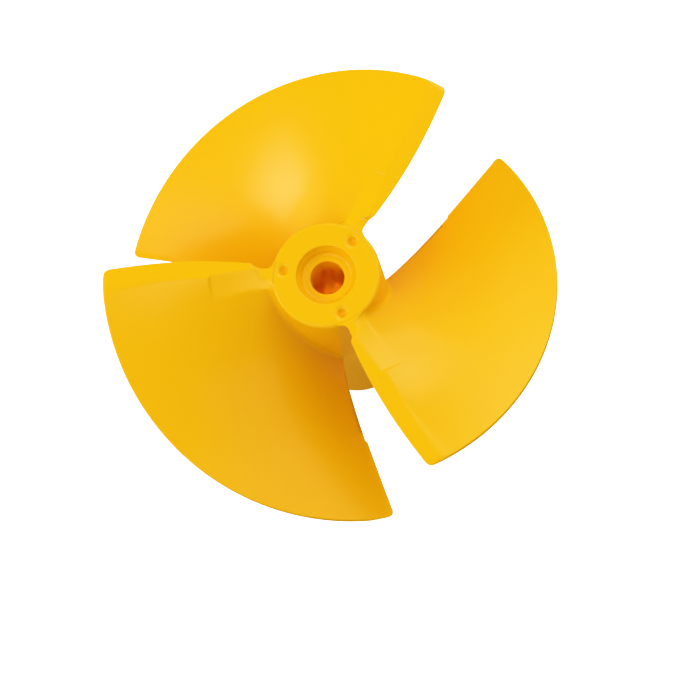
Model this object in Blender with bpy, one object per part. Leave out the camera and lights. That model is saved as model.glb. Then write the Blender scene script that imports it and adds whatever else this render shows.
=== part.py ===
"""Three-bladed impeller of a robotic pool cleaner, one moulding in yellow plastic.

+Z is the spin axis and points to the front. The origin is the centre of the hub's rear face, on
which the impeller stands. Sizes below are in millimetres and degrees. Angles turn anticlockwise
as seen from the front, and each blade falls to the rear as its angle grows.
"""

import math

import bmesh
import bpy
import numpy as np

MM = 0.001

# The hub, from its rear end to its front face
HUB_LENGTH = 64.4
HUB_REAR_RADIUS = 12.0
HUB_FRONT_RADIUS = 13.05
HUB_SEGMENTS = 60
FRONT_RIM_ROUND = 0.6
REAR_RIM_CHAMFER = 0.5

# The screw's counterbore and the shaft's bore
COUNTERBORE_MOUTH_RADIUS = 7.1
COUNTERBORE_FLOOR_RADIUS = 6.3
COUNTERBORE_DEPTH = 2.6
BORE_RADIUS = 4.1
EDGE_BREAK = 0.3
DRIVE_FLAT_DISTANCE = 3.3
DRIVE_FLAT_LENGTH = 20.0
DRIVE_FLAT_ANGLE = 90.0

# The pockets that core the rear of the hub, and the ribs between them
HUB_WALL = 2.5
SHAFT_BOSS_RADIUS = 6.6
POCKET_DEPTH = 28.0
POCKET_DRAFT = 0.3
RIB_THICKNESS = 1.8
RIB_SINK = 1.0

# The gate dimples in the front face
GATE_CIRCLE_RADIUS = 10.3
GATE_DIMPLE_RADIUS = 1.5
GATE_DIMPLE_DEPTH = 0.5
GATE_ANGLE = 75.0
GATE_SEGMENTS = 14

# The blades
BLADE_COUNT = 3
TIP_RADIUS = 54.0
TIP_DRAFT = 0.2
TIP_HOLLOW = 0.25
LAND_PROUD = 0.9
BLADE_REAR_BELOW_FACE = 29.4
BLADE_HOLLOW = 0.55
FRONT_EDGE = (80.0, -10.7, -3.7, 4.8)
REAR_EDGE = (186.9, -6.7, -2.7, -12.4)
THICKNESS = (1.4, 0.5, 2.4)
FRONT_FILLET = 3.0
REAR_FILLET = 2.6
FILLET_LEFT_AT_REAR = 0.35
FILLET_SEAT = 0.12
ROOT_SINK = 2.0
CORNER_ROUND = 1.6
NOTCH_DEPTH = 1.5
NOTCH_OUTER_RADIUS = 18.6
NOTCH_INNER_RADIUS = 15.4
FACET_OUTER_RADIUS = 27.6
FACET_OUTER_LAND = 3.45
FACET_OUTER_DEPTH = 3.3
FACET_HUB_LAND = 1.8
FACET_HUB_DEPTH = 1.9
FACET_WALL_LENGTH = 0.4
FACET_SEGMENTS = 2
STEP_RADIUS = 34.6
STEP_HEIGHT = 0.17
STEP_LENGTH = 0.6
CHORD_SEGMENTS = 20
FILLET_STATIONS = (0.5, 1.2, 2.2)
SPAN_STATIONS = (14, 15.4, 17, 18.6, 21, 24, 27.6, 28, 31, 34.3, 34.9, 39, 43, 47, 50.5, 52.7)
CORNER_STATIONS = (0.7, 0.2, 0.0)

# The plastic
YELLOW = (0.93, 0.50, 0.008, 1.0)
ROUGHNESS = 0.32


def clear_scene():
    for thing in list(bpy.data.objects):
        bpy.data.objects.remove(thing, do_unlink=True)


def yellow_plastic():
    material = bpy.data.materials.new("yellow_plastic")
    material.use_nodes = True
    shader = material.node_tree.nodes["Principled BSDF"]
    shader.inputs["Base Color"].default_value = YELLOW
    shader.inputs["Roughness"].default_value = ROUGHNESS
    shader.inputs["Metallic"].default_value = 0.0
    material.diffuse_color = YELLOW
    return material


def add_mesh(name, points, faces):
    """An object with its points given in millimetres and its faces turned outwards."""
    mesh = bpy.data.meshes.new(name)
    mesh.from_pydata((np.asarray(points) * MM).tolist(), [], faces)
    form = bmesh.new()
    form.from_mesh(mesh)
    bmesh.ops.recalc_face_normals(form, faces=form.faces)
    form.to_mesh(mesh)
    form.free()
    thing = bpy.data.objects.new(name, mesh)
    bpy.context.collection.objects.link(thing)
    return thing


def tube_faces(rings, size):
    """Quads between closed rings of points, each ring of the given size."""
    return [
        (a * size + k, a * size + (k + 1) % size, b * size + (k + 1) % size, b * size + k)
        for a, b in zip(range(rings - 1), range(1, rings))
        for k in range(size)
    ]


def turned(name, outline, segments):
    """A ring-shaped solid: a closed outline of (radius, height) points turned about Z."""
    turns = np.linspace(0, 2 * math.pi, segments, endpoint=False)
    radius, height = np.array(outline).T
    points = np.stack([
        np.outer(np.cos(turns), radius),
        np.outer(np.sin(turns), radius),
        np.outer(np.ones(segments), height),
    ], axis=-1)
    size = len(outline)
    faces = tube_faces(segments, size)
    last = (segments - 1) * size
    faces += [(last + k, last + (k + 1) % size, (k + 1) % size, k) for k in range(size)]
    return add_mesh(name, points.reshape(-1, 3), faces)


def block(name, low, high, angle=0.0):
    """A box between two corners, turned about Z."""
    corners = np.array([(x, y, z) for z in (low[2], high[2])
                        for x, y in ((low[0], low[1]), (high[0], low[1]),
                                     (high[0], high[1]), (low[0], high[1]))])
    turn = math.radians(angle)
    spin = np.array([[math.cos(turn), math.sin(turn), 0], [-math.sin(turn), math.cos(turn), 0], [0, 0, 1]])
    faces = tube_faces(2, 4) + [(3, 2, 1, 0), (4, 5, 6, 7)]
    return add_mesh(name, corners @ spin, faces)


def hub_radius(height):
    """The hub's outer wall, drafted from its rear end to its front face."""
    return HUB_REAR_RADIUS + (HUB_FRONT_RADIUS - HUB_REAR_RADIUS) * height / HUB_LENGTH


def hub_outline():
    """The hub's section: outer wall, front face, counterbore, bore, boss end, pocket, rear rim."""
    front = HUB_LENGTH
    seat = front - COUNTERBORE_DEPTH
    rim = [
        (HUB_FRONT_RADIUS - FRONT_RIM_ROUND * (1 - math.cos(turn)),
         front - FRONT_RIM_ROUND * (1 - math.sin(turn)))
        for turn in np.radians((0, 30, 60, 90))
    ]
    pocket_outer = HUB_REAR_RADIUS - HUB_WALL
    return [
        (HUB_REAR_RADIUS - REAR_RIM_CHAMFER, 0),
        (hub_radius(REAR_RIM_CHAMFER), REAR_RIM_CHAMFER),
        *rim,
        (COUNTERBORE_MOUTH_RADIUS, front),
        (COUNTERBORE_MOUTH_RADIUS - EDGE_BREAK, front - EDGE_BREAK),
        (COUNTERBORE_FLOOR_RADIUS, seat),
        (BORE_RADIUS + EDGE_BREAK, seat),
        (BORE_RADIUS, seat - EDGE_BREAK),
        (BORE_RADIUS, EDGE_BREAK),
        (BORE_RADIUS + EDGE_BREAK, 0),
        (SHAFT_BOSS_RADIUS, 0),
        (SHAFT_BOSS_RADIUS + POCKET_DRAFT, POCKET_DEPTH),
        (pocket_outer - POCKET_DRAFT, POCKET_DEPTH),
        (pocket_outer, 0),
    ]


def polynomial(terms, radius):
    """A value along the blade, as powers of the share of the tip radius that is left outside."""
    left = 1 - radius / TIP_RADIUS
    return sum(term * left**power for power, term in enumerate(terms))


def round_over(distance, radius):
    """How far a quarter round stands off at this distance from the wall that it ends on."""
    inside = radius - np.clip(distance, FILLET_SEAT, radius)
    return radius - np.sqrt(radius**2 - inside**2)


def fillet(full, depth):
    """The fillet's radius at a depth from 0, the front edge, to 1, the rear edge."""
    return full * (1 - (1 - FILLET_LEFT_AT_REAR) * depth**2)


def ramp(value, low, high):
    """0 below low, 1 above high, and straight between."""
    return np.clip((value - low) / (high - low), 0, 1)


def pitch(radius):
    """Millimetres that the blade falls in one radian, at the middle of its chord."""
    sweep = polynomial(REAR_EDGE, radius) - polynomial(FRONT_EDGE, radius)
    return (LAND_PROUD + BLADE_REAR_BELOW_FACE) / np.radians(sweep)


def front_cut(radius):
    """Height of the front edge below its land: the notch beside the hub and the round tip corner."""
    notch = NOTCH_DEPTH * (1 - ramp(radius, NOTCH_INNER_RADIUS, NOTCH_OUTER_RADIUS))
    return notch + corner_cut(radius)


def rear_cut(radius):
    """Height of the rear edge above its land: the step at mid span and the round tip corner."""
    half = STEP_LENGTH / 2
    step = STEP_HEIGHT * (1 - ramp(radius, STEP_RADIUS - half, STEP_RADIUS + half))
    return step + corner_cut(radius)


def corner_cut(radius):
    """What a tip corner loses, taken down the blade's own slope."""
    inside = np.clip(CORNER_ROUND - (TIP_RADIUS - radius), 0, CORNER_ROUND)
    back = CORNER_ROUND - np.sqrt(CORNER_ROUND**2 - inside**2)
    return back * pitch(radius) / radius


def lead(radius, land, depth):
    """Angle of the front skin at a depth from 0 to 1, without facet and fillet."""
    # The hollow drops the skin, so the same depth is reached sooner.
    sag = BLADE_HOLLOW / (LAND_PROUD + BLADE_REAR_BELOW_FACE)
    along = depth - 4 * sag * depth * (1 - depth)
    ridge = np.radians(polynomial(FRONT_EDGE, radius)) + land / radius
    return ridge + (np.radians(polynomial(REAR_EDGE, radius)) - ridge) * along


def facet_depth(radius):
    """Depth share at which the facet behind the land runs out into the skin."""
    across = ramp(radius, HUB_FRONT_RADIUS, FACET_OUTER_RADIUS)
    deep = FACET_HUB_DEPTH + (FACET_OUTER_DEPTH - FACET_HUB_DEPTH) * across
    return deep / (LAND_PROUD + BLADE_REAR_BELOW_FACE)


def facet_cut(radius, land, depth):
    """Angle that the straight facet takes off the front skin, none outside its end wall."""
    across = ramp(radius, HUB_FRONT_RADIUS, FACET_OUTER_RADIUS)
    narrow = FACET_HUB_LAND + (FACET_OUTER_LAND - FACET_HUB_LAND) * across
    start = np.radians(polynomial(FRONT_EDGE, radius)) + narrow / radius
    end = facet_depth(radius)
    straight = start + (lead(radius, land, end) - start) * depth / end
    cut = np.where(depth < end, lead(radius, land, depth) - straight, 0)
    return np.maximum(cut, 0) * (1 - ramp(radius, FACET_OUTER_RADIUS, FACET_OUTER_RADIUS + FACET_WALL_LENGTH))


def chord_shares(radius):
    """Shares of the way from the front edge to the rear edge, with one row on the facet's end."""
    end = facet_depth(radius)
    first = np.linspace(0, 1, FACET_SEGMENTS, endpoint=False) * end
    rest = end + np.linspace(0, 1, CHORD_SEGMENTS - FACET_SEGMENTS + 1) * (1 - end)
    return np.concatenate([first, rest], axis=1)


def blade_points(turn):
    """Rings of points round the blade's section, from inside the hub to the tip.

    At one radius the front skin is a helix: it leaves the front plane at the front edge's angle
    plus the width of the land, reaches the rear plane at the rear edge's angle, and is hollowed
    a little between. The rear skin is the same helix turned back by the land's width, which is
    the thickness over the sine of the slope. On the inner half a straight facet cuts the ridge
    behind the land. At the hub both skins swell into a quarter round.
    """
    front_z = HUB_LENGTH + LAND_PROUD
    rear_z = HUB_LENGTH - BLADE_REAR_BELOW_FACE
    wall = hub_radius(front_z)
    near_hub = wall + np.array([-ROOT_SINK, FILLET_SEAT, *FILLET_STATIONS])
    span = np.concatenate([
        near_hub,
        [r for r in SPAN_STATIONS if r > near_hub[-1] + 0.3],
        TIP_RADIUS - np.array(CORNER_STATIONS),
    ])
    nominal = span[:, None]
    share = chord_shares(nominal)
    top = front_z - front_cut(nominal)
    bottom = rear_z + rear_cut(nominal)
    height = top + (bottom - top) * share
    depth = (front_z - height) / (front_z - rear_z)
    # Stations near the hub follow its drafted wall, and those near the tip its draft and hollow.
    outward = ramp(nominal, wall, TIP_RADIUS)
    tip_drift = TIP_DRAFT * (2 * depth - 1) - TIP_HOLLOW * 4 * depth * (1 - depth)
    radius = nominal + (hub_radius(height) - wall) * (1 - outward) + tip_drift * outward
    distance = radius - hub_radius(height)

    slope = np.arctan(pitch(radius) / radius)
    land = polynomial(THICKNESS, np.maximum(radius, wall)) / np.sin(slope)
    skin = lead(radius, land, depth)
    swell = round_over(distance, fillet(FRONT_FILLET, depth)) / np.sin(slope) / radius
    ahead = skin - facet_cut(radius, land, depth) + swell
    behind = skin - (land + round_over(distance, fillet(REAR_FILLET, depth)) / np.sin(slope)) / radius

    turns = np.concatenate([ahead, behind[:, ::-1]], axis=1) + math.radians(turn)
    radii = np.concatenate([radius, radius[:, ::-1]], axis=1)
    heights = np.concatenate([height, height[:, ::-1]], axis=1)
    return np.stack([radii * np.cos(turns), radii * np.sin(turns), heights], axis=-1)


def blade(number):
    """One blade as a closed solid whose root lies inside the hub's wall."""
    rings = blade_points(number * 360 / BLADE_COUNT)
    count, size = rings.shape[:2]
    faces = tube_faces(count, size)
    for start in (0, (count - 1) * size):
        faces += [
            (start + k, start + k + 1, start + size - 2 - k, start + size - 1 - k)
            for k in range(CHORD_SEGMENTS)
        ]
    return add_mesh(f"blade_{number + 1}", rings.reshape(-1, 3), faces)


def rib(number):
    """One rib between the shaft boss and the hub's wall."""
    half = RIB_THICKNESS / 2
    inner = SHAFT_BOSS_RADIUS - RIB_SINK
    outer = HUB_REAR_RADIUS - HUB_WALL + RIB_SINK
    return block(f"rib_{number + 1}", (inner, -half, 0.4), (outer, half, POCKET_DEPTH + RIB_SINK),
                 GATE_ANGLE + number * 360 / BLADE_COUNT)


def drive_flat():
    """The flat that makes the rear of the bore D-shaped."""
    reach = BORE_RADIUS + RIB_SINK
    return block("drive_flat", (DRIVE_FLAT_DISTANCE, -reach / 2, EDGE_BREAK),
                 (reach, reach / 2, DRIVE_FLAT_LENGTH), DRIVE_FLAT_ANGLE)


def gate_dimple(number):
    """The cutter for one gate dimple in the front face."""
    angle = math.radians(GATE_ANGLE + number * 360 / BLADE_COUNT)
    centre = GATE_CIRCLE_RADIUS * np.array([math.cos(angle), math.sin(angle)])
    turns = np.linspace(0, 2 * math.pi, GATE_SEGMENTS, endpoint=False)
    rim = np.stack([np.cos(turns), np.sin(turns)], axis=1)
    rings = [
        np.column_stack([centre + rim * share * GATE_DIMPLE_RADIUS, np.full(GATE_SEGMENTS, level)])
        for share, level in ((0.6, HUB_LENGTH - GATE_DIMPLE_DEPTH), (1.0, HUB_LENGTH), (1.0, HUB_LENGTH + 1))
    ]
    faces = tube_faces(3, GATE_SEGMENTS)
    faces.append(tuple(range(GATE_SEGMENTS)))
    faces.append(tuple(range(2 * GATE_SEGMENTS, 3 * GATE_SEGMENTS)))
    return add_mesh(f"gate_dimple_{number + 1}", np.concatenate(rings), faces)


def join(body, tool, operation):
    """Adds or cuts one shape with a Boolean that stays on the body."""
    tool.hide_render = True
    tool.display_type = "WIRE"
    change = body.modifiers.new(tool.name, "BOOLEAN")
    change.operation = operation
    change.solver = "EXACT"
    change.object = tool


def impeller():
    body = turned("impeller", hub_outline(), HUB_SEGMENTS)
    body.data.materials.append(yellow_plastic())
    for number in range(BLADE_COUNT):
        join(body, blade(number), "UNION")
    for number in range(BLADE_COUNT):
        join(body, rib(number), "UNION")
    join(body, drive_flat(), "UNION")
    for number in range(BLADE_COUNT):
        join(body, gate_dimple(number), "DIFFERENCE")
    body.data.shade_smooth()
    body.data.set_sharp_from_angle(angle=math.radians(30))
    return body


clear_scene()
impeller()
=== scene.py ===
"""The looks of a moulded impeller for a robotic pool cleaner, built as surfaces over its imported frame.

The impeller stands on the rear end of its hub with +Z, the spin axis, up to the front face. Sizes
are in metres where a user changes them and in millimetres inside the shape functions. Angles turn
anticlockwise as seen from the front, and each blade falls to the rear as its angle grows.
"""

import math

import bmesh
import bpy
import numpy as np
from mathutils import Matrix, Vector


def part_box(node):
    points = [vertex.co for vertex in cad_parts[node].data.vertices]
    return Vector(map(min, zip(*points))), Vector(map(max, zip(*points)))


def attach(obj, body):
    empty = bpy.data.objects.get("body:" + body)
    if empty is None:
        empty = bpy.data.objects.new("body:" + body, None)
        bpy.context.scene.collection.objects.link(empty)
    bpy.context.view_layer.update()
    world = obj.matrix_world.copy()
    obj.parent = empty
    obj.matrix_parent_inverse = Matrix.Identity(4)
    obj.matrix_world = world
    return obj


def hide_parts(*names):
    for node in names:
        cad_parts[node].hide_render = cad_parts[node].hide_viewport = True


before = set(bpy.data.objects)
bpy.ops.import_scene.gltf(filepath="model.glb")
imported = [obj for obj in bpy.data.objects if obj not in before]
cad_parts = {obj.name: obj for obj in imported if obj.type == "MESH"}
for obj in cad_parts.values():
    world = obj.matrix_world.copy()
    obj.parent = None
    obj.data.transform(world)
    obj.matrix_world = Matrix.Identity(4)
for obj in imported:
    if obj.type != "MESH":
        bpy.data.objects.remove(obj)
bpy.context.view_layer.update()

bl_info = {
    "name": "Pool Cleaner Impeller",
    "version": (1, 0, 0),
    "blender": (4, 5, 0),
    "location": "3D View > Sidebar > Impeller",
    "description": "Builds a three-bladed plastic impeller, its finish and its photo stage",
    "category": "Add Mesh",
}

NODE = "impeller"
BODY = "root"
MM = 0.001
FRONT_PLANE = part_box(NODE)[1].z

# Blades: angles of the two edges and thickness, as powers of the share of the tip radius left outside
BLADE_COUNT = 3
FRONT_EDGE = (80.0, -10.7, -3.7, 4.8)
REAR_EDGE = (186.9, -6.7, -2.7, -12.4)
THICKNESS = (1.4, 0.5, 2.4)
BLADE_HOLLOW = 0.55
TIP_DRAFT = 0.2
TIP_HOLLOW = 0.25
ROOT_SINK = 0.5
FILLET_LOSS_AT_REAR = 0.65

# How far back from its ridge a land starts to round over: along the span, then at the rear edge
RIDGE_REACH = (0.3, 2.0)
RIDGE_REACH_START = 36
REAR_RIDGE_REACH = 0.3

# Notch beside the hub, facet behind the land and step in the rear edge
NOTCH_DEPTH = 0.95
NOTCH_NEAR_RADII = (16.2, 18.5)
NOTCH_RIDGE_RADII = (15.4, 17.7)
ROOT_BLEND = 0.7
ROOT_BLEND_RADII = (13.6, 16.0)
FACET_SOFTNESS = 0.08
FACET_RADII = (13.05, 27.6)
FACET_LAND = (0.6, 3.45)
FACET_DEPTH = (1.9, 3.3)
FACET_WALL = 0.9
STEP_RADIUS = 34.6
STEP_HEIGHT = 0.17
STEP_LENGTH = 0.6

# Number of points on the parts of a blade's section
NOSE_POINTS = 7
LAND_POINTS = 6
CORNER_POINTS = 6
SKIN_POINTS = 62
UPPER_SKIN_POINTS = 8
CREASE_GAP = 0.05

# Stations along a blade: usual spacing, the first gap, the margin at a feature and the least spacing
STATION_SPACING = 0.42
FIRST_STATION_GAP = 0.3
STATION_MARGIN = 0.2
LEAST_SPACING = 0.008

# Hub: the face behind the blades' front plane, rounds, drive flat, rear pocket, ribs and gate marks
HUB_SEGMENTS = 432
FACE_DROP = 0.9
MOUTH_ROUND = 0.4
SEAT_FILLET = 0.95
SMALL_EDGE_ROUND = 0.25
REAR_RIM_ROUND = 0.4
DRIVE_FLAT_DISTANCE = 3.3
DRIVE_FLAT_LENGTH = 20.0
DRIVE_FLAT_ANGLE = 90.0
DRIVE_FLAT_RUNOUT = 0.1
HUB_WALL = 2.5
SHAFT_BOSS_RADIUS = 6.6
POCKET_DEPTH = 28.0
POCKET_DRAFT = 0.3
POCKET_FLOOR_ROUND = 0.8
RIB_THICKNESS = 1.8
RIB_LOW = 0.4
RIB_ROUND = 0.25
RIB_ROUND_SEGMENTS = 3
RIB_SIDE_SINK = 0.4
RIB_TOP_SINK = 0.5
GATE_ANGLE = 75.0
GATE_CIRCLE_RADIUS = 10.3
GATE_DIMPLE_RADIUS = 2.0
GATE_DIMPLE_DEPTH = 0.35
GATE_HOLE_RADIUS = 0.95
GATE_HOLE_DEPTH = 0.95

# Plastic: size and detail of the flow clouds, how much they vary the gloss, and its reflections
CLOUD_SCALE = 38.0
CLOUD_DETAIL = 3.0
GLOSS_SPREAD = 0.05
REFRACTION = 1.5
REFLECTION_LEVEL = 0.23

# Camera: its backward and right directions, and the point that it looks at, in millimetres
CAMERA_BACK = (0.21098, -0.19407, 0.95803)
CAMERA_RIGHT = (0.91399, 0.38665, -0.12296)
CAMERA_TARGET = (9.43, -12.08, 50.0)

# Soft boxes: image azimuth and angle off the view axis in degrees, power in watts, width in metres
LAMP_DISTANCE = 1.0
LAMPS = (
    (210, 35, 2.75, 0.6),
    (60, 35, 1.47, 0.6),
    (0, 35, 0.94, 0.6),
    (90, 60, 0.81, 0.6),
    (60, 85, 1.79, 0.6),
    (180, 85, 0.97, 0.6),
    (90, 85, 0.46, 0.6),
    (30, 85, 0.33, 0.6),
    (177, 66, 2.52, 0.4),
    (86, 58, 0.62, 0.3),
    (60, 74, 0.42, 0.25),
)

# Sky and floor, dimmer in reflections than for other light; half size in metres, gap in millimetres
SKY_STRENGTH = 0.22
SKY_SHEEN = 0.06
FLOOR_HALF = 3
FLOOR_GAP = 0.1
FLOOR_SHEEN = 0.06
FLOOR_GLOSSY_GLOW = 0.04
FLOOR_ROUGHNESS = 0.9

# Lamp down in the bore: power in watts, height and radius in millimetres
BORE_LAMP_POWER = 0.0019
BORE_LAMP_HEIGHT = 14.0
BORE_LAMP_RADIUS = 1.5

# Tone curve between black and white, as light in and light out
TONES = (
    (0.05, 0.035), (0.1, 0.105), (0.2, 0.25), (0.35, 0.46), (0.5, 0.655), (0.65, 0.81), (0.8, 0.93),
)


class ImpellerHubSizes(bpy.types.PropertyGroup):
    """Sizes of the hub"""

    length: bpy.props.FloatProperty(
        name="Length", description="From the hub's rear end to its front face",
        default=FRONT_PLANE - FACE_DROP * MM, min=0.03, unit="LENGTH")
    rear_radius: bpy.props.FloatProperty(
        name="Rear Radius", description="Outer radius at the rear end",
        default=12.0 * MM, min=0.01, unit="LENGTH")
    front_radius: bpy.props.FloatProperty(
        name="Front Radius", description="Outer radius at the front face",
        default=13.05 * MM, min=0.01, unit="LENGTH")
    rim_round: bpy.props.FloatProperty(
        name="Rim Round", description="Radius of the round along the front rim",
        default=0.8 * MM, min=0.0001, unit="LENGTH")
    mouth_radius: bpy.props.FloatProperty(
        name="Counterbore Mouth", description="Radius of the screw's counterbore at the face",
        default=7.1 * MM, min=0.005, unit="LENGTH")
    floor_radius: bpy.props.FloatProperty(
        name="Counterbore Floor", description="Radius of the counterbore at its floor",
        default=6.3 * MM, min=0.005, unit="LENGTH")
    counterbore_depth: bpy.props.FloatProperty(
        name="Counterbore Depth", description="From the face down to the screw's seat",
        default=2.6 * MM, min=0.0005, unit="LENGTH")
    bore_radius: bpy.props.FloatProperty(
        name="Bore Radius", description="Radius of the shaft's bore",
        default=4.1 * MM, min=0.001, unit="LENGTH")


class ImpellerBladeSizes(bpy.types.PropertyGroup):
    """Sizes of the blades"""

    tip_radius: bpy.props.FloatProperty(
        name="Tip Radius", description="From the spin axis to the blade tips",
        default=54.0 * MM, min=0.03, unit="LENGTH")
    chord_height: bpy.props.FloatProperty(
        name="Height", description="From the blades' front plane down to their rear plane",
        default=30.3 * MM, min=0.01, unit="LENGTH")
    front_fillet: bpy.props.FloatProperty(
        name="Front Fillet", description="Radius between hub and front skin",
        default=1.6 * MM, min=0.0002, unit="LENGTH")
    rear_fillet: bpy.props.FloatProperty(
        name="Rear Fillet", description="Radius between hub and rear skin",
        default=1.5 * MM, min=0.0002, unit="LENGTH")
    corner_round: bpy.props.FloatProperty(
        name="Corner Round", description="Radius of the two corners of each tip",
        default=1.6 * MM, min=0.0002, unit="LENGTH")
    nose_radius: bpy.props.FloatProperty(
        name="Nose Radius", description="Radius of the thin front and rear edges",
        default=0.12 * MM, min=0.00002, unit="LENGTH")
    tip_edge_round: bpy.props.FloatProperty(
        name="Tip Edge Round", description="Radius of the two edges of each tip",
        default=0.25 * MM, min=0.00002, unit="LENGTH")


class ImpellerFinish(bpy.types.PropertyGroup):
    """Colours and gloss of the plastic"""

    yellow: bpy.props.FloatVectorProperty(
        name="Yellow", description="Main colour of the plastic",
        subtype="COLOR", size=4, min=0.0, max=1.0, default=(0.93, 0.462, 0.003, 1.0))
    warm_yellow: bpy.props.FloatVectorProperty(
        name="Warm Yellow", description="Colour of the faint flow clouds in the plastic",
        subtype="COLOR", size=4, min=0.0, max=1.0, default=(0.92, 0.447, 0.003, 1.0))
    roughness: bpy.props.FloatProperty(
        name="Roughness", description="Mean roughness of the moulded skin",
        default=0.24, min=0.0, max=1.0, subtype="FACTOR")


class ImpellerStage(bpy.types.PropertyGroup):
    """Camera and floor of the photo"""

    lens: bpy.props.FloatProperty(
        name="Lens", description="Focal length in millimetres on a 36 mm sensor",
        default=186.5, min=20.0)
    distance: bpy.props.FloatProperty(
        name="Camera Distance", description="From the camera to the point that it looks at",
        default=0.8705, min=0.1, unit="LENGTH")
    floor_colour: bpy.props.FloatVectorProperty(
        name="Floor", description="Colour of the floor, apart from reflections",
        subtype="COLOR", size=4, min=0.0, max=1.0, default=(0.7, 0.7, 0.7, 1.0))
    floor_glow: bpy.props.FloatProperty(
        name="Floor Glow", description="Light that the floor sends to the object",
        default=0.24, min=0.0)


def polynomial(terms, radius, tip):
    """Sum of the terms times powers of (1 - radius / tip)."""
    left = 1 - radius / tip
    return sum(term * left**power for power, term in enumerate(terms))


def ramp(value, low, high):
    """0 below low, 1 above high, and straight between."""
    return np.clip((value - low) / (high - low), 0, 1)


def soft_ramp(value, low, high):
    """A ramp with round ends: three squares less two cubes of the straight ramp."""
    share = ramp(value, low, high)
    return share * share * (3 - 2 * share)


def between(pair, share):
    """Straight mix of the two numbers of a pair."""
    return pair[0] + (pair[1] - pair[0]) * share


def standoff(distance, radius):
    """How far a quarter round stands off the wall that it meets: the radius less the root of the
    radius squared less what is left of it squared."""
    inside = radius - np.clip(distance, 0, radius)
    return radius - np.sqrt(np.maximum(radius**2 - inside**2, 0))


def arc(centre, radius, start, end, count):
    """Points on a circle in the plane, angles in radians, last point included."""
    turns = np.linspace(start, end, count)
    return np.column_stack([centre[0] + radius * np.cos(turns), centre[1] + radius * np.sin(turns)])


def line(start, end, count):
    """Points from start to end, both ends left out."""
    share = np.linspace(0, 1, count + 2)[1:-1, None]
    return np.asarray(start) * (1 - share) + np.asarray(end) * share


def blade_turns(start):
    """Angles in radians of the features that repeat with the blades, from one in degrees."""
    return np.radians(start + np.arange(BLADE_COUNT) * 360 / BLADE_COUNT)


def millimetres(group, name):
    """A size of a property group in millimetres."""
    return getattr(group, name) / MM


def grid_faces(rows, columns, close_rows):
    """Quads of a grid whose columns always close, and whose rows close if asked."""
    last = rows if close_rows else rows - 1
    row, column = np.meshgrid(np.arange(last), np.arange(columns), indexing="ij")
    below, beside = (row + 1) % rows, (column + 1) % columns
    quads = np.stack([
        row * columns + column, row * columns + beside,
        below * columns + beside, below * columns + column,
    ], axis=-1)
    return quads.reshape(-1, 4)


def mesh_piece(name, points, faces):
    """An object at the origin with its points in millimetres and its faces turned outwards."""
    mesh = bpy.data.meshes.new(name)
    mesh.from_pydata((points * MM).tolist(), [], faces)
    form = bmesh.new()
    form.from_mesh(mesh)
    bmesh.ops.recalc_face_normals(form, faces=form.faces)
    form.to_mesh(mesh)
    form.free()
    mesh.shade_smooth()
    piece = bpy.data.objects.new(name, mesh)
    bpy.context.scene.collection.objects.link(piece)
    return piece


def finish_piece(piece, material):
    """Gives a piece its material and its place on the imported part."""
    piece.data.materials.append(material)
    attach(piece, BODY)
    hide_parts(NODE)


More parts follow.
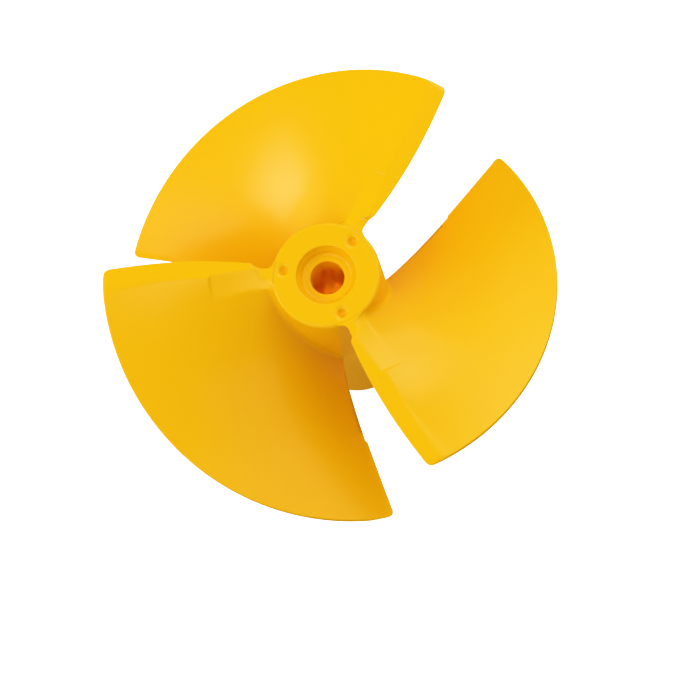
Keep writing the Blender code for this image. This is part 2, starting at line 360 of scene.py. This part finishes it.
class HubShape:
    """The hub's surface in millimetres."""

    def __init__(self, sizes):
        self.length = millimetres(sizes, "length")
        self.rear = millimetres(sizes, "rear_radius")
        self.front = millimetres(sizes, "front_radius")
        self.rim = millimetres(sizes, "rim_round")
        self.mouth = millimetres(sizes, "mouth_radius")
        self.floor = millimetres(sizes, "floor_radius")
        self.depth = millimetres(sizes, "counterbore_depth")
        self.bore = millimetres(sizes, "bore_radius")

    def wall(self, height):
        """Outer radius: straight from the rear radius to the front radius."""
        return self.rear + (self.front - self.rear) * height / self.length

    def profile(self):
        """The closed section as rows of radius and height: outer wall, face, counterbore, bore,
        boss, pocket and rear rim, with a quarter circle or a part of one at each corner."""
        quarter = math.pi / 2
        top, seat = self.length, self.length - self.depth
        rim, lip, fillet = self.rim, MOUTH_ROUND, SEAT_FILLET
        edge, corner = SMALL_EDGE_ROUND, REAR_RIM_ROUND
        flat_end = DRIVE_FLAT_LENGTH + DRIVE_FLAT_RUNOUT
        flat_start = DRIVE_FLAT_LENGTH - DRIVE_FLAT_RUNOUT
        pocket_in = SHAFT_BOSS_RADIUS
        pocket_out = self.rear - HUB_WALL
        deep, foot = POCKET_DEPTH, POCKET_FLOOR_ROUND
        inner = pocket_in + POCKET_DRAFT
        outer = pocket_out - POCKET_DRAFT
        parts = [
            arc((self.rear - corner, corner), corner, -quarter, 0, 6),
            line((self.wall(corner), corner), (self.front, top - rim), 46),
            arc((self.front - rim, top - rim), rim, 0, quarter, 9),
            line((self.front - rim, top), (self.mouth + lip, top), 40),
            arc((self.mouth + lip, top - lip), lip, quarter, 2 * quarter, 7),
            line((self.mouth, top - lip), (self.floor, seat + fillet), 5),
            arc((self.floor - fillet, seat + fillet), fillet, 0, -quarter, 6),
            line((self.floor - fillet, seat), (self.bore + edge, seat), 4),
            arc((self.bore + edge, seat - edge), edge, quarter, 2 * quarter, 6),
            line((self.bore, seat - edge), (self.bore, flat_end), 16),
            line((self.bore, flat_end), (self.bore, flat_start), 3),
            line((self.bore, flat_start), (self.bore, edge), 8),
            arc((self.bore + edge, edge), edge, 2 * quarter, 3 * quarter, 5),
            line((self.bore + edge, 0), (pocket_in - edge, 0), 3),
            arc((pocket_in - edge, edge), edge, -quarter, 0, 5),
            line((pocket_in, edge), (inner, deep - foot), 14),
            arc((inner + foot, deep - foot), foot, 2 * quarter, quarter, 6),
            line((inner + foot, deep), (outer - foot, deep), 2),
            arc((outer - foot, deep - foot), foot, quarter, 0, 6),
            line((outer, deep - foot), (pocket_out, edge), 14),
            arc((pocket_out + edge, edge), edge, 2 * quarter, 3 * quarter, 5),
            line((pocket_out + edge, 0), (self.rear - corner, 0), 2),
        ]
        return np.concatenate(parts)

    def gate_marks(self, x, y):
        """Height change of the face at each gate: a round bowl, one less the squared share of its
        radius, round a hole whose depth falls off with the fourth power of the distance."""
        change = np.zeros_like(x)
        for turn in blade_turns(GATE_ANGLE):
            from_x = x - GATE_CIRCLE_RADIUS * math.cos(turn)
            from_y = y - GATE_CIRCLE_RADIUS * math.sin(turn)
            distance = np.hypot(from_x, from_y)
            bowl = np.maximum(1 - (distance / GATE_DIMPLE_RADIUS)**2, 0)
            change -= GATE_DIMPLE_DEPTH * bowl
            change -= GATE_HOLE_DEPTH * np.exp(-((distance / GATE_HOLE_RADIUS)**4))
        return change

    def points(self):
        """The profile turned about Z, with the drive flat as a straight chord across the rear of
        the bore and the gate marks pressed into the face."""
        radius, height = self.profile().T
        turns = np.linspace(0, 2 * math.pi, HUB_SEGMENTS, endpoint=False)[:, None]
        radius = np.broadcast_to(radius, (HUB_SEGMENTS, len(radius))).copy()
        height = np.broadcast_to(height, radius.shape).copy()
        turn = turns - math.radians(DRIVE_FLAT_ANGLE)
        facing = np.cos(turn) > 0.1
        chord = DRIVE_FLAT_DISTANCE / np.where(facing, np.cos(turn), 1)
        in_bore = (radius < self.bore + 0.3) & (height < DRIVE_FLAT_LENGTH)
        radius = np.where(in_bore & facing, np.minimum(radius, np.maximum(chord, 0)), radius)
        x, y = radius * np.cos(turns), radius * np.sin(turns)
        on_face = (height > self.length - 1e-6) & (radius > self.mouth)
        height += np.where(on_face, self.gate_marks(x, y), 0)
        return np.stack([x, y, height], axis=-1)


def rib_blocks(hub):
    """Corners of the blocks between boss and wall, in millimetres: a unit cube's corners stretched
    to a rib's length, width and height, and turned to each rib's angle."""
    along, across, up = np.meshgrid((0, 1), (-0.5, 0.5), (0, 1), indexing="ij")
    start = SHAFT_BOSS_RADIUS - RIB_SIDE_SINK
    reach = hub.rear - HUB_WALL + RIB_SIDE_SINK - start
    x, y = (start + reach * along).ravel(), (RIB_THICKNESS * across).ravel()
    z = (RIB_LOW + (POCKET_DEPTH + RIB_TOP_SINK - RIB_LOW) * up).ravel()
    turns = blade_turns(GATE_ANGLE)[:, None]
    points = np.stack([
        x * np.cos(turns) - y * np.sin(turns), x * np.sin(turns) + y * np.cos(turns), z + 0 * turns,
    ], axis=-1)
    sides = np.array([(0, 1, 3, 2), (4, 6, 7, 5), (0, 4, 5, 1), (2, 3, 7, 6), (0, 2, 6, 4), (1, 5, 7, 3)])
    faces = sides[None] + 8 * np.arange(BLADE_COUNT)[:, None, None]
    return points.reshape(-1, 3), faces.reshape(-1, 4).tolist()


class BladeShape:
    """The surface of one blade in millimetres."""

    def __init__(self, sizes, hub):
        self.hub = hub
        self.tip = millimetres(sizes, "tip_radius")
        self.front = FRONT_PLANE / MM
        self.high = millimetres(sizes, "chord_height")
        self.front_fillet = millimetres(sizes, "front_fillet")
        self.rear_fillet = millimetres(sizes, "rear_fillet")
        self.corner = millimetres(sizes, "corner_round")
        self.nose = millimetres(sizes, "nose_radius")
        self.edge = millimetres(sizes, "tip_edge_round")
        self.rear = self.front - self.high
        self.wall = hub.wall(self.front)

    def edge_angle(self, terms, radius):
        """Angle in radians of the front or the rear edge at a radius."""
        return np.radians(polynomial(terms, radius, self.tip))

    def pitch(self, radius):
        """Millimetres that the blade falls in one radian."""
        sweep = self.edge_angle(REAR_EDGE, radius) - self.edge_angle(FRONT_EDGE, radius)
        return self.high / sweep

    def corner_cut(self, radius):
        """Height that the round corner takes off an edge, the round's loss times the slope."""
        inside = np.clip(self.corner - (self.tip - radius), 0, self.corner)
        back = self.corner - np.sqrt(self.corner**2 - inside**2)
        return back * self.pitch(radius) / radius

    def ridge_reach(self, radius):
        """How far from its ridge the front land starts to round over: a straight ramp along the
        outer span, plus a soft ramp beside the hub."""
        root_reach = ROOT_BLEND * (1 - soft_ramp(radius, *ROOT_BLEND_RADII))
        along_span = ramp(radius, RIDGE_REACH_START, self.tip)
        return between(RIDGE_REACH, along_span) + root_reach

    def stations(self):
        """Radii from inside the hub to the tip, close together where the shape turns quickly."""
        swing = 1 - np.sin(np.linspace(math.pi / 2, 0, 12))
        reach = max(self.front_fillet, self.rear_fillet)
        last = self.tip - self.corner - STATION_MARGIN
        facet_out = FACET_RADII[1] + FACET_WALL
        parts = [
            [self.wall - ROOT_SINK],
            self.wall + reach * swing,
            np.arange(self.wall + reach + FIRST_STATION_GAP, last, STATION_SPACING),
            np.linspace(FACET_RADII[1] - STATION_MARGIN, facet_out + STATION_MARGIN, 12),
            np.linspace(STEP_RADIUS - STEP_LENGTH, STEP_RADIUS + STEP_LENGTH, 9),
            self.tip - self.corner * swing,
            self.tip - self.edge * swing[2:],
        ]
        radii = np.unique(np.round(np.concatenate(parts), 3))
        keep = np.concatenate([[True], np.diff(radii) > LEAST_SPACING])
        keep[-1] = True
        return radii[keep][:, None]

    def section(self, radius):
        """The ring of the blade's section at each station, as arc length and height.

        The front skin is a helix, hollowed by a parabola, with a straight facet behind the land.
        The rear skin is the same helix set back by the land's width. Both swell at the hub and
        draw together at the tip by a quarter round. The thin edges are arcs of the nose radius
        that touch both their sides, and the ridges are second-order curves.
        """
        pitch = self.pitch(radius)
        slope = np.arctan(pitch / radius)
        rise = np.sin(slope)
        land = polynomial(THICKNESS, radius, self.tip) / rise
        thin = self.nose * (1 / np.tan(slope / 2) - 1)
        inset = standoff(self.tip - radius, self.edge)
        notch = NOTCH_DEPTH * (1 - soft_ramp(radius, *NOTCH_NEAR_RADII))
        ridge_notch = NOTCH_DEPTH * (1 - soft_ramp(radius, *NOTCH_RIDGE_RADII))
        half = STEP_LENGTH / 2
        step = STEP_HEIGHT * (1 - soft_ramp(radius, STEP_RADIUS - half, STEP_RADIUS + half))
        cut = self.corner_cut(radius)
        near_top = self.front - notch - cut - inset
        top = self.front - ridge_notch - cut - inset
        bottom = self.rear + step + cut + inset

        start = self.edge_angle(FRONT_EDGE, radius) * radius
        end = self.edge_angle(REAR_EDGE, radius) * radius + thin
        sag = BLADE_HOLLOW / self.high
        off_wall = radius - self.wall

        def lead(depth):
            """Arc length of the helix, less four sags times the depth times what is left of it."""
            along = depth - 4 * sag * depth * (1 - depth)
            return start + land + (end - start - land) * along

        def fillet(full, depth):
            """Radius of a fillet: the full one, less a share of the depth squared."""
            return full * (1 - FILLET_LOSS_AT_REAR * depth**2)

        across = ramp(radius, *FACET_RADII)
        facet_end = between(FACET_DEPTH, across) / self.high
        facet_start = start + between(FACET_LAND, across)
        facet_on = 1 - soft_ramp(radius, FACET_RADII[1], FACET_RADII[1] + FACET_WALL)

        def front_skin(height):
            """Arc length of the front skin: the helix less the facet, plus the swell at the hub."""
            depth = (self.front - height) / self.high
            straight = facet_start + (lead(facet_end) - facet_start) * depth / facet_end
            taken = np.where(depth < facet_end, np.maximum(lead(depth) - straight, 0), 0)
            taken = taken**2 / (taken + FACET_SOFTNESS)
            swell = standoff(off_wall, fillet(self.front_fillet, depth)) - inset
            return lead(depth) - taken * facet_on + swell / rise

        def rear_skin(height):
            """Arc length of the rear skin: the helix less the land, the nose and the swell."""
            depth = (self.front - height) / self.high
            swell = standoff(off_wall, fillet(self.rear_fillet, depth)) - inset
            return lead(depth) - land - thin - swell / rise

        near = (near_top, rear_skin(near_top) + thin + self.nose)
        reach = self.ridge_reach(radius)
        front = self.front_chain(slope, reach, near, top, bottom, thin, front_skin, facet_end)
        return front, self.rear_chain(slope, near, bottom, thin, front_skin, rear_skin)

    def turn(self, centre, start, end):
        """Arcs of the nose radius, one for each station."""
        turns = start + (end - start) * np.linspace(0, 1, NOSE_POINTS)
        return centre[0] + self.nose * np.cos(turns), centre[1] + self.nose * np.sin(turns)

    def bend(self, before, corner, after):
        """Second-order curve from one point to another that heads for the corner between them."""
        share = np.linspace(0, 1, CORNER_POINTS)
        weights = ((1 - share)**2, 2 * share * (1 - share), share**2)
        points = (before, corner, after)
        return tuple(sum(w * p[axis] for w, p in zip(weights, points)) for axis in (0, 1))

    def front_chain(self, slope, reach, near, top, bottom, thin, front_skin, facet_end):
        """From the middle of the front nose over land, ridge and front skin to the rear nose. The
        land climbs from the notched nose to the ridge by a soft ramp."""
        nose = self.turn((near[1], near[0] - self.nose), math.pi - slope / 2, math.pi / 2)
        ridge = (front_skin(top), top)
        before = (ridge[0] - reach, top)
        low = top - reach * np.sin(slope)
        bend = self.bend(before, ridge, (front_skin(low), low))
        share = np.linspace(0, 1, LAND_POINTS + 2)[1:-1]
        climb = near[0] + (top - near[0]) * soft_ramp(share, 0, 1)
        land = (nose[0][:, -1:] * (1 - share) + before[0] * share, climb)
        last = bottom + self.nose * (1 + np.cos(slope))
        crease = np.minimum(self.front - facet_end * self.high, low - CREASE_GAP)
        share = np.linspace(0, 1, UPPER_SKIN_POINTS + 1)[1:]
        upper = low + (crease - low) * share
        share = np.linspace(0, 1, SKIN_POINTS - UPPER_SKIN_POINTS + 1)[1:]
        lower = crease + (last - crease) * share
        heights = np.concatenate([upper, lower], axis=1)
        end_at = (front_skin(bottom) - thin - self.nose, bottom + self.nose)
        rear_nose = self.turn(end_at, math.pi / 2 - slope, -slope / 2)
        return (
            np.concatenate([nose[0], land[0], bend[0], front_skin(heights), rear_nose[0]], axis=1),
            np.concatenate([nose[1], land[1], bend[1], heights, rear_nose[1]], axis=1),
        )

    def rear_chain(self, slope, near, bottom, thin, front_skin, rear_skin):
        """From the middle of the front nose down the rear skin and along the rear land."""
        nose_at = (near[1], near[0] - self.nose)
        nose = self.turn(nose_at, math.pi - slope / 2, 1.5 * math.pi - slope)
        first = near[0] - self.nose * (1 + np.cos(slope))
        reach = REAR_RIDGE_REACH
        low = bottom + reach * np.sin(slope)
        heights = first + (low - first) * np.linspace(0, 1, SKIN_POINTS + 1)[1:]
        corner = (rear_skin(bottom), bottom)
        after = (corner[0] + reach, bottom)
        bend = self.bend((rear_skin(low), low), corner, after)
        end_at = (front_skin(bottom) - thin - self.nose, bottom + self.nose)
        rear_nose = self.turn(end_at, -math.pi / 2, -slope / 2)
        share = np.linspace(0, 1, LAND_POINTS + 2)[1:-1]
        land = (after[0] * (1 - share) + rear_nose[0][:, :1] * share, bottom + 0 * share)
        return (
            np.concatenate([nose[0], rear_skin(heights), bend[0], land[0], rear_nose[0]], axis=1),
            np.concatenate([nose[1], heights, bend[1], land[1], rear_nose[1]], axis=1),
        )

    def points(self, number):
        """Rings in space: arc length over radius is the angle, and the radius drifts with the
        hub's drafted wall near the root and with the tip's draft and hollow near the tip."""
        radius = self.stations()
        front, rear = self.section(radius)
        lengths = np.concatenate([front[0], rear[0][:, -2:0:-1]], axis=1)
        heights = np.concatenate([front[1], rear[1][:, -2:0:-1]], axis=1)
        turns = lengths / radius + math.radians(number * 360 / BLADE_COUNT)
        depth = (self.front - heights) / self.high
        outward = ramp(radius, self.wall, self.tip)
        tip_drift = TIP_DRAFT * (2 * depth - 1) - TIP_HOLLOW * 4 * depth * (1 - depth)
        drift = (self.hub.wall(heights) - self.wall) * (1 - outward) + tip_drift * outward
        drifted = radius + drift
        return np.stack([drifted * np.cos(turns), drifted * np.sin(turns), heights], axis=-1)


def cap_faces(row, size):
    """Strips that close one end ring, from its front half to its rear half."""
    half = size // 2
    index = np.arange(1, half - 1)
    first = row * size
    strips = np.stack([index, index + 1, size - index - 1, size - index], axis=1) + first
    ends = [(first, first + 1, first + size - 1), (first + half - 1, first + half, first + half + 1)]
    return strips.tolist() + ends


def blade_faces(rings):
    """Faces of a closed blade: the grid between its rings and a cap on each end."""
    rows, size = rings.shape[:2]
    faces = grid_faces(rows, size, False).tolist()
    for row in (0, rows - 1):
        faces += cap_faces(row, size)
    return faces


def new_node(tree, kind, **values):
    """A shader node with some of its settings."""
    node = tree.nodes.new(kind)
    for name, value in values.items():
        setattr(node, name, value)
    return node


def plastic(finish):
    """Solid yellow plastic with faint flow clouds, which vary its colour and its soft gloss."""
    known = bpy.data.materials.get("yellow_plastic_skin")
    if known:
        return known
    material = bpy.data.materials.new("yellow_plastic_skin")
    material.use_nodes = True
    tree = material.node_tree
    shader = tree.nodes["Principled BSDF"]
    place = new_node(tree, "ShaderNodeTexCoord")

    clouds = new_node(tree, "ShaderNodeTexNoise")
    clouds.inputs["Scale"].default_value = CLOUD_SCALE
    clouds.inputs["Detail"].default_value = CLOUD_DETAIL
    tree.links.new(place.outputs["Object"], clouds.inputs["Vector"])
    tint = new_node(tree, "ShaderNodeMix", data_type="RGBA")
    tint.inputs["A"].default_value = finish.yellow
    tint.inputs["B"].default_value = finish.warm_yellow
    tree.links.new(clouds.outputs["Fac"], tint.inputs["Factor"])
    tree.links.new(tint.outputs["Result"], shader.inputs["Base Color"])

    gloss = new_node(tree, "ShaderNodeMapRange")
    gloss.inputs["To Min"].default_value = finish.roughness - GLOSS_SPREAD
    gloss.inputs["To Max"].default_value = finish.roughness + GLOSS_SPREAD
    tree.links.new(clouds.outputs["Fac"], gloss.inputs["Value"])
    tree.links.new(gloss.outputs["Result"], shader.inputs["Roughness"])
    shader.inputs["IOR"].default_value = REFRACTION
    shader.inputs["Specular IOR Level"].default_value = REFLECTION_LEVEL
    return material


def set_tones(view):
    """Plain display colours with a photo's tones: a deeper toe, and whites reached at one."""
    view.view_transform = "Standard"
    view.use_curve_mapping = True
    curve = view.curve_mapping.curves[3]
    for place in TONES:
        curve.points.new(*place)
    view.curve_mapping.update()


def add_ray_strength(tree, socket, other, reflected):
    """Drives a strength: 1 for the camera, one value in reflections and another for other light.
    Gives back the node that tells the kinds of rays apart."""
    rays = new_node(tree, "ShaderNodeLightPath")
    hidden = new_node(tree, "ShaderNodeMapRange")
    hidden.inputs["To Min"].default_value = other
    hidden.inputs["To Max"].default_value = reflected
    tree.links.new(rays.outputs["Is Glossy Ray"], hidden.inputs["Value"])
    strength = new_node(tree, "ShaderNodeMapRange")
    strength.inputs["To Max"].default_value = 1.0
    tree.links.new(hidden.outputs["Result"], strength.inputs["To Min"])
    tree.links.new(rays.outputs["Is Camera Ray"], strength.inputs["Value"])
    tree.links.new(strength.outputs["Result"], socket)
    return rays


def add_camera(scene, stage, back, right, up, target):
    """The camera of the photo, aimed at the target."""
    camera = bpy.data.objects.new("camera", bpy.data.cameras.new("camera"))
    camera.data.lens = stage.lens
    camera.matrix_world = Matrix.Translation(target + back * stage.distance) @ Matrix(
        (right, up, back)).transposed().to_4x4()
    scene.collection.objects.link(camera)
    scene.camera = camera


def add_floor(scene, stage):
    """A wide floor just under the part, white to the camera and dim in reflections."""
    mesh = bpy.data.meshes.new("floor")
    half, height = FLOOR_HALF, -FLOOR_GAP * MM
    corners = [(-half, -half), (half, -half), (half, half), (-half, half)]
    mesh.from_pydata([(x, y, height) for x, y in corners], [], [(0, 1, 2, 3)])
    floor = bpy.data.objects.new("floor", mesh)
    scene.collection.objects.link(floor)
    material = bpy.data.materials.new("floor")
    material.use_nodes = True
    tree = material.node_tree
    shader = tree.nodes["Principled BSDF"]
    shader.inputs["Roughness"].default_value = FLOOR_ROUGHNESS
    shader.inputs["Emission Color"].default_value = (1, 1, 1, 1)
    glow = shader.inputs["Emission Strength"]
    rays = add_ray_strength(tree, glow, stage.floor_glow, FLOOR_GLOSSY_GLOW)
    dim = new_node(tree, "ShaderNodeMix", data_type="RGBA")
    dim.inputs["A"].default_value = stage.floor_colour
    dim.inputs["B"].default_value = (FLOOR_SHEEN, FLOOR_SHEEN, FLOOR_SHEEN, 1)
    tree.links.new(rays.outputs["Is Glossy Ray"], dim.inputs["Factor"])
    tree.links.new(dim.outputs["Result"], shader.inputs["Base Color"])
    mesh.materials.append(material)


def add_sky(scene):
    """An even sky, white to the camera and dim in reflections."""
    world = bpy.data.worlds.new("studio")
    world.use_nodes = True
    sky = world.node_tree.nodes["Background"]
    sky.inputs["Color"].default_value = (1, 1, 1, 1)
    add_ray_strength(world.node_tree, sky.inputs["Strength"], SKY_STRENGTH, SKY_SHEEN)
    scene.world = world


def add_bore_lamp(scene):
    """A faint lamp down in the bore, in place of the light that comes through the plastic."""
    lamp = bpy.data.lights.new("bore_lamp", "POINT")
    lamp.energy = BORE_LAMP_POWER
    lamp.shadow_soft_size = BORE_LAMP_RADIUS * MM
    holder = bpy.data.objects.new("bore_lamp", lamp)
    holder.location = (0, 0, BORE_LAMP_HEIGHT * MM)
    holder.visible_glossy = False
    scene.collection.objects.link(holder)


def add_softboxes(scene, back, right, up, target):
    """Square lamps round the camera's axis, each turned to the target."""
    for number, (azimuth, off, power, width) in enumerate(LAMPS):
        lamp = bpy.data.lights.new(f"softbox_{number + 1}", "AREA")
        lamp.energy = power
        lamp.size = width
        side = math.radians(azimuth)
        tilt = math.radians(off)
        away = back * math.cos(tilt) + (right * math.cos(side) + up * math.sin(side)) * math.sin(tilt)
        holder = bpy.data.objects.new(lamp.name, lamp)
        holder.matrix_world = Matrix.Translation(target + away * LAMP_DISTANCE) @ away.to_track_quat(
            "Z", "Y").to_matrix().to_4x4()
        scene.collection.objects.link(holder)


class IMPELLER_OT_hub(bpy.types.Operator):
    """Add the hub with its counterbore, bore, rear pocket and gate marks"""

    bl_idname = "impeller.add_hub"
    bl_label = "Add Hub"
    bl_options = {"REGISTER", "UNDO"}

    def execute(self, context):
        scene = context.scene
        points = HubShape(scene.impeller_hub).points()
        rows, columns = points.shape[:2]
        faces = grid_faces(rows, columns, True).tolist()
        finish_piece(mesh_piece("hub", points.reshape(-1, 3), faces), plastic(scene.impeller_finish))
        return {"FINISHED"}


class IMPELLER_OT_ribs(bpy.types.Operator):
    """Add the three ribs in the hub's rear pocket"""

    bl_idname = "impeller.add_ribs"
    bl_label = "Add Rear Ribs"
    bl_options = {"REGISTER", "UNDO"}

    def execute(self, context):
        scene = context.scene
        points, faces = rib_blocks(HubShape(scene.impeller_hub))
        piece = mesh_piece("rear_ribs", points, faces)
        rounds = piece.modifiers.new("edge rounds", "BEVEL")
        rounds.width = RIB_ROUND * MM
        rounds.segments = RIB_ROUND_SEGMENTS
        finish_piece(piece, plastic(scene.impeller_finish))
        return {"FINISHED"}


class IMPELLER_OT_blades(bpy.types.Operator):
    """Add the three screw-shaped blades"""

    bl_idname = "impeller.add_blades"
    bl_label = "Add Blades"
    bl_options = {"REGISTER", "UNDO"}

    def execute(self, context):
        scene = context.scene
        shape = BladeShape(scene.impeller_blade, HubShape(scene.impeller_hub))
        for number in range(BLADE_COUNT):
            rings = shape.points(number)
            piece = mesh_piece(f"blade_{number + 1}", rings.reshape(-1, 3), blade_faces(rings))
            finish_piece(piece, plastic(scene.impeller_finish))
        return {"FINISHED"}


class IMPELLER_OT_stage(bpy.types.Operator):
    """Set up the camera, the floor, the sky, the lamps and the tones"""

    bl_idname = "impeller.add_stage"
    bl_label = "Add Stage"
    bl_options = {"REGISTER", "UNDO"}

    def execute(self, context):
        scene = context.scene
        stage = scene.impeller_stage
        back = Vector(CAMERA_BACK).normalized()
        right = Vector(CAMERA_RIGHT).normalized()
        up = back.cross(right)
        target = Vector(CAMERA_TARGET) * MM
        add_camera(scene, stage, back, right, up, target)
        add_floor(scene, stage)
        add_sky(scene)
        add_bore_lamp(scene)
        add_softboxes(scene, back, right, up, target)
        set_tones(scene.view_settings)
        return {"FINISHED"}


class IMPELLER_PT_panel(bpy.types.Panel):
    """Steps that build the impeller"""

    bl_idname = "IMPELLER_PT_panel"
    bl_label = "Impeller"
    bl_space_type = "VIEW_3D"
    bl_region_type = "UI"
    bl_category = "Impeller"

    def draw(self, context):
        for kind in STEPS:
            self.layout.operator(kind.bl_idname)


STEPS = (IMPELLER_OT_hub, IMPELLER_OT_ribs, IMPELLER_OT_blades, IMPELLER_OT_stage)
GROUPS = {
    "impeller_hub": ImpellerHubSizes,
    "impeller_blade": ImpellerBladeSizes,
    "impeller_finish": ImpellerFinish,
    "impeller_stage": ImpellerStage,
}
CLASSES = (*GROUPS.values(), *STEPS, IMPELLER_PT_panel)


def register():
    """Registers the classes and gives every scene the groups."""
    for kind in CLASSES:
        bpy.utils.register_class(kind)
    for name, group in GROUPS.items():
        setattr(bpy.types.Scene, name, bpy.props.PointerProperty(type=group))


def unregister():
    """Takes the groups and the classes away again."""
    for name in GROUPS:
        delattr(bpy.types.Scene, name)
    for kind in reversed(CLASSES):
        bpy.utils.unregister_class(kind)


def main():
    register()
    bpy.ops.impeller.add_hub()
    bpy.ops.impeller.add_ribs()
    bpy.ops.impeller.add_blades()
    bpy.ops.impeller.add_stage()


if __name__ == "__main__":
    main()
